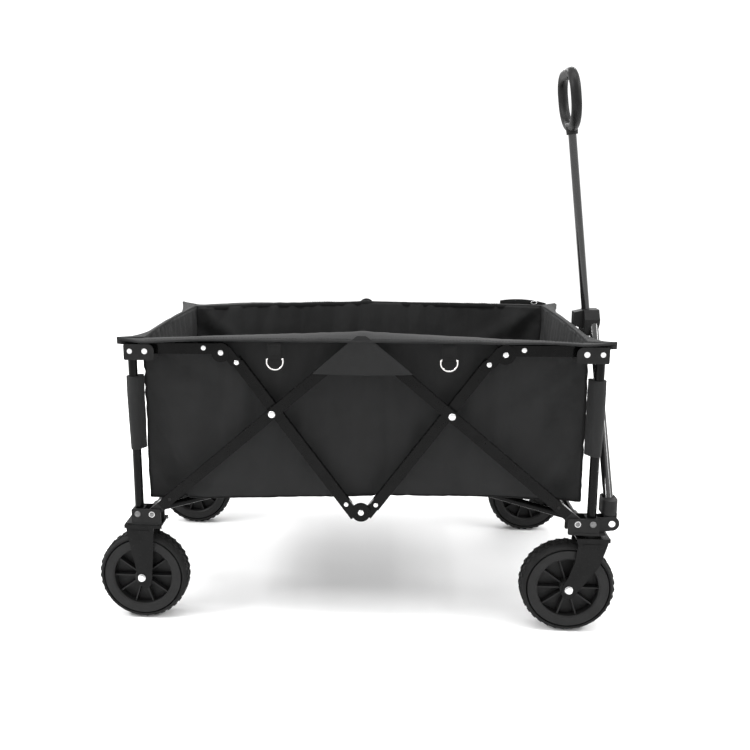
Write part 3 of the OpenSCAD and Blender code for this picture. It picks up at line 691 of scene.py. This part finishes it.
def hem_side(name, side):
    """Rim of a side wall, from pointed tip to pointed tip."""
    rings, n = [], 190
    rim = RIM_NEAR if side < 0 else RIM_FAR
    lower = 0 if side < 0 else FAR_DROP
    for i in range(n + 1):
        x = -TIP_X + 2 * TIP_X * i / n
        u = min(1, (TIP_X - abs(x)) / (TIP_X - 0.408))
        y_in = HEM_TIP - (HEM_TIP - HEM_IN) * u
        wob = 0.0009 * noise.noise(Vector((x * 14, side * 3, 1)))
        wob += 0.0006 * noise.noise(Vector((x * 60, side, 5)))
        low = profile(HEM_EDGE, x, 0.012) + lower + wob
        top = profile(rim, x, 0.018) + wob + 0.0016 * math.exp(-((x / 0.012) ** 2))
        top = low + 0.0044 + (top - low - 0.0044) * u
        y_out = HEM_OUT + 0.0006 * noise.noise(Vector((x * 30, side, 9)))
        ring = [(X0 + x, side * y, z) for y, z in section(min(y_in, y_out - 0.002), top, y_out, low)]
        rings.append(ring)
    return loft(name, rings, "cloth_side", "rear_frame")


def hem_end(name, end, body):
    """Rim of an end wall; its outer edge flares out towards the pointed tips."""
    rings, n = [], 120
    w = 0.2686
    for i in range(n + 1):
        y = -w + 2 * w * i / n
        d = w - abs(y)
        u = min(1, d / (w - HEM_IN))
        far_part = (y + w) / (2 * w)
        reach = max(0, min(1, (abs(y) - 0.15) / 0.11))
        x_out = 0.4290 + 0.0200 * reach ** 1.4
        x_in = min(0.4480 - (0.4480 - 0.4098) * u, x_out - 0.002)
        corner_near, corner_far = rim_height(end * END_X, -WALL_Y), rim_height(end * END_X, WALL_Y)
        wob = 0.0012 * noise.noise(Vector((y * 16, end, 2)))
        top = corner_near + (corner_far - corner_near) * far_part + 0.004 + wob
        top += 0.005 * math.sin(math.pi * far_part)
        tip = profile(HEM_EDGE, end * 0.449, 0.002) - 0.006 * far_part
        low = tip + (top - 0.0125 - tip) * min(1, d / 0.12)
        rings.append([(X0 + end * x, y, z) for x, z in section(x_in, max(top, low + 0.004), x_out, low)])
    return loft(name, rings, "cloth_end_painted_lighter", body)


hem_near, hem_far = hem_side("hem_near", -1), hem_side("hem_far", 1)
hem_front, hem_rear = hem_end("hem_front", 1, "front_frame"), hem_end("hem_rear", -1, "rear_frame")


def flap(name, side):
    """Triangle over the upper hinge, from the rim's peak to a straight hem below the hinge discs."""
    rows, cols = 22, 44
    verts, faces = [], []
    top_z = profile(RIM_NEAR if side < 0 else RIM_FAR, 0, 0.018) - 0.002
    for r in range(rows + 1):
        v = r / rows
        z = top_z - (top_z - 0.497) * v
        half = 0.008 + 0.084 * v ** 0.97
        for c in range(cols + 1):
            s = -1 + 2 * c / cols
            puff = 0.0012 * (1 - s * s) * math.sin(math.pi * min(1, v * 1.1))
            fan = 0.0012 * math.sin(s * 9 + 1.3 * side) * v * (1 - v * 0.4)
            link_line = 0.0007 * math.exp(-((abs(s) - 0.80) / 0.10) ** 2) * v
            crease = 0.0007 * noise.noise(Vector((s * 5, z * 55, side)))
            y = 0.2670 + puff * 0.6 + fan * 0.35 + link_line + crease * 0.6
            dip = 0.0020 * math.sin(math.pi * (s + 1) / 2) * v
            verts.append((X0 + s * half + 0.002 * v, side * min(y, 0.2696), z - dip))
    for r in range(rows):
        for c in range(cols):
            a = r * (cols + 1) + c
            faces.append((a, a + 1, a + cols + 2, a + cols + 1))
    o = make(name, verts, faces, "cloth_side", None)
    thicken(o, 0.0014)
    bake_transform(o)
    return o


flap_near, flap_far = flap("flap_near", -1), flap("flap_far", 1)


# half width, half height and half depth of the eyelet
EYE_W, EYE_H, EYE_DEPTH = 0.0065, 0.0036, 0.0009


def corner_flap():
    """Loose end of the rim's binding at the far front corner, standing a little above the hem."""
    rings, n = [], 40
    low_x, high_x = 0.317, 0.424
    for i in range(n + 1):
        u = i / n
        x = low_x + (high_x - low_x) * u
        rise = 0.011 * math.sin(math.pi * min(1, 0.12 + u * 0.80)) ** 0.6 * (1 - 0.3 * u ** 6)
        z0 = profile(RIM_FAR, x) - 0.005
        half = 0.0016 + 0.0010 * math.sin(math.pi * u)
        y0 = 0.2590
        turn = [2 * math.pi * j / 14 for j in range(14)]
        mid, tall = z0 + rise * 0.5, 0.004 + rise * 0.5
        rings.append([
            (X0 + x, y0 + half * math.cos(t), mid + tall * math.sin(t)) for t in turn
        ])
    return loft("corner_flap", rings, "webbing", "rear_frame")


def eyelet():
    """Oval metal eyelet in the corner flap: a small ring swept round an ellipse."""
    x0, y0, z0 = X0 + 0.396, 0.2562, profile(RIM_FAR, 0.396) + 0.0030
    verts, faces, n, m = [], [], 32, 8
    for i in range(n):
        a = 2 * math.pi * i / n
        for j in range(m):
            b = 2 * math.pi * j / m
            grow = 1 + 0.22 * math.cos(b)
            x, z = x0 + EYE_W * grow * math.cos(a), z0 + EYE_H * grow * math.sin(a)
            verts.append((x, y0 + EYE_DEPTH * math.sin(b), z))
    for i in range(n):
        for j in range(m):
            a, b = i * m + j, i * m + (j + 1) % m
            c, d = (i + 1) % n * m + (j + 1) % m, (i + 1) % n * m + j
            faces.append((a, b, c, d))
    return make("eyelet", verts, faces, "rivet", "rear_frame")


tab, eye = corner_flap(), eyelet()


# ---------------------------------------------------------------- post sleeves
# height of a sleeve's lower edge, and its length
SLEEVE_LOW, SLEEVE_LEN = 0.345, 0.142


def sleeve(name, end, side, body):
    """Cloth wrapped round a post and sewn back to the basket's corner seam."""
    rings, n, m = [], 44, 40
    post = (0.428, 0.2528)
    seam = (0.4125, 0.2372)
    tail = math.atan2(seam[1] - post[1], seam[0] - post[0])
    reach = math.hypot(seam[0] - post[0], seam[1] - post[1])
    for i in range(n + 1):
        v = i / n
        z = SLEEVE_LOW + SLEEVE_LEN * v
        r0 = 0.0106 + 0.0022 * v + 0.0008 * math.sin(math.pi * v)
        ring = []
        for j in range(m):
            a = 2 * math.pi * j / m
            pull = max(0, math.cos(a - tail)) ** 7
            spot = Vector((math.cos(a) * 1.5, math.sin(a) * 1.5, z * 26 + end * 7 + side * 3))
            w = 1 + 0.05 * noise.noise(spot)
            r = r0 * w + (reach - r0) * pull
            ring.append((X0 + end * (post[0] + r * math.cos(a)), side * (post[1] + r * math.sin(a)), z))
        rings.append(ring)
    return loft(name, rings, "cloth_side", body)


ENDS = ((-1, "rear"), (1, "front"))
SIDES = ((-1, "near"), (1, "far"))
sleeves = {
    (en, sn): sleeve(f"sleeve_{en}_{sn}", e, d, f"{en}_frame") for e, en in ENDS for d, sn in SIDES
}


# ---------------------------------------------------------------- webbing tabs
STRAP_X, STRAP_W, BAR_Z = 0.158, 0.025, 0.524
STRAP_Y, STRAP_TOP = 0.2689, 0.5540


def strap(name, end, side, body):
    """Webbing tab: two layers that close round the ring's bar, with slightly waved edges."""
    rings, n = [], 14
    for i in range(n + 1):
        u = i / n
        edge = 0.00025 * (abs(2 * u - 1) ** 8)
        x = X0 + end * STRAP_X + STRAP_W * (u - 0.5)
        ring = [(STRAP_Y - 0.0023 + edge, STRAP_TOP), (STRAP_Y - 0.0002 - edge, STRAP_TOP)]
        ring += [(STRAP_Y - 0.0002 - edge, 0.5300), (STRAP_Y + 0.0018 - edge, 0.5268)]
        for k in range(9):
            a = math.pi * k / 8
            ring.append((STRAP_Y + 0.0023 * math.cos(a), BAR_Z - 0.0023 * math.sin(a)))
        ring += [(STRAP_Y - 0.0023 + edge, 0.5300)]
        rings.append([(x, side * y, z) for y, z in ring])
    return loft(name, rings, "webbing", body)


straps = {
    (en, sn): strap(f"strap_{en}_{sn}", e, d, f"straps_{en}") for e, en in ENDS for d, sn in SIDES
}


def dashes(name, path, lift, mat, body, length=0.0036, spacing=0.0058, r=0.00042):
    """Row of stitches along a path, each a small bead raised along lift."""
    verts, faces = [], []
    run = [0.0]
    for a, b in zip(path, path[1:]):
        run.append(run[-1] + (Vector(b) - Vector(a)).length)

    def spot(d):
        """Point at distance d along the path."""
        k = min(max(int(np.searchsorted(run, d)) - 1, 0), len(path) - 2)
        t = (d - run[k]) / max(run[k + 1] - run[k], 1e-9)
        return Vector(path[k]).lerp(Vector(path[k + 1]), t)

    up = Vector(lift).normalized()
    count = int(run[-1] / spacing)
    for i in range(count):
        a, b = spot(i * spacing + 0.001), spot(i * spacing + 0.001 + length)
        side = (b - a).normalized().cross(up)
        start = len(verts)
        for q, k in ((a, 0.35), (a.lerp(b, 0.25), 1), (a.lerp(b, 0.75), 1), (b, 0.35)):
            for j in range(5):
                t = 2 * math.pi * j / 5
                verts.append(q + side * (r * k * math.cos(t)) + up * (r * k * math.sin(t)))
        for ring_i in range(3):
            for j in range(5):
                p0, p1 = start + ring_i * 5 + j, start + ring_i * 5 + (j + 1) % 5
                faces.append((p0, p1, p1 + 5, p0 + 5))
        faces.append(tuple(start + j for j in range(4, -1, -1)))
        faces.append(tuple(start + 15 + j for j in range(5)))
    return make(name, verts, faces, mat, body)


def hem_stitches(name, side):
    """Row of stitches along a side hem."""
    lower = 0 if side < 0 else STITCH_DROP
    path = []
    for i in range(121):
        x = -0.40 + 0.80 * i / 120
        wob = 0.0009 * noise.noise(Vector((x * 14, side * 3, 1)))
        low = profile(HEM_EDGE, x, 0.012) + lower + wob
        path.append((X0 + x, side * 0.2662, low + 0.0062))
    return dashes(name, path, (0, side * 0.5, 1), "thread", "rear_frame")


stitch_near, stitch_far = hem_stitches("stitch_near", -1), hem_stitches("stitch_far", 1)
strap_stitches = []
for e, en in ENDS:
    for d, sn in SIDES:
        for k, z in enumerate((0.5325, 0.5495)):
            x = X0 + e * STRAP_X
            row = [(x - 0.0105, d * (STRAP_Y - 0.0001), z), (x + 0.0105, d * (STRAP_Y - 0.0001), z)]
            strap_stitches.append(
                dashes(f"tab_stitch_{en}_{sn}_{k}", row, (0, d, 0), "thread", f"straps_{en}", 0.0024, 0.0038)
            )


# ---------------------------------------------------------------- rivet heads
def dome(name, x, y, z, radius, height, mat, body, side):
    """Domed rivet head with a rolled rim, facing out along Y."""
    rings, n = [], 24
    shape = ((1.0, 0.0), (1.02, 0.18), (0.97, 0.42), (0.84, 0.68), (0.62, 0.88), (0.34, 0.98), (0.06, 1.0))
    for s, h in shape:
        turn = [2 * math.pi * j / n for j in range(n)]
        rings.append([
            (x + radius * s * math.cos(t), side * (y + height * h), z + radius * s * math.sin(t))
            for t in turn
        ])
    return loft(name, rings, mat, body)


# rivet heads in each quarter: name, x, y, z, radius, height, material, family of the body they ride on
SPOTS = (
    ("rail_rivet", 0.293, 0.2523, 0.541, 0.0046, 0.0008, "rivet", "rail"),
    ("disc_rivet", 0.2595, 0.2600, 0.5335, 0.0050, 0.0012, "rivet", "b"),
    ("link_rivet", 0.2306, 0.2590, 0.515, 0.0046, 0.0014, "rivet", "b"),
    ("cross_rivet", 0.166, 0.2655, 0.4185, 0.0066, 0.0018, "rivet", "a"),
    ("low_rivet", 0.028, 0.2528, 0.2405, 0.0043, 0.0013, "rivet", "b"),
)
domes = []
for e, en in ENDS:
    for d, sn in SIDES:
        for label, x, y, z, radius, height, mat, family in SPOTS:
            body = f"{family}_{en}_{sn}"
            domes.append(dome(f"{label}_{en}_{sn}", X0 + e * x, y, z, radius, height, mat, body, d))
        for k, x in enumerate((0.400, 0.428)):
            label, body = f"base_cap_{en}_{sn}_{k}", f"{en}_frame"
            domes.append(dome(label, X0 + e * x, 0.2684, 0.218, 0.0060, 0.0026, "dull", body, d))
for d, sn in SIDES:
    body = f"b_rear_{sn}"
    domes.append(dome(f"middle_rivet_{sn}", X0, 0.2528, 0.2245, 0.0056, 0.0018, "rivet", body, d))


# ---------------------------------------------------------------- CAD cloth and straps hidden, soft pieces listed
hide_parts("bag_near")
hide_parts("bag_far")
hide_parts("bag_front")
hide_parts("bag_rear")
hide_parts("bag_floor")
for en in ("rear", "front"):
    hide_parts(f"straps_{en}")
soft = [near, far, front, rear, base, hem_near, hem_far, hem_front, hem_rear, flap_near, flap_far]
soft += [bottom_near, bottom_far, stitch_near, stitch_far, tab]
soft += corner_seams + list(sleeves.values()) + list(straps.values()) + strap_stitches
for o in (near, far, base, hem_near, hem_far, bottom_near, bottom_far, stitch_near, stitch_far, tab, eye):
    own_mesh(o)
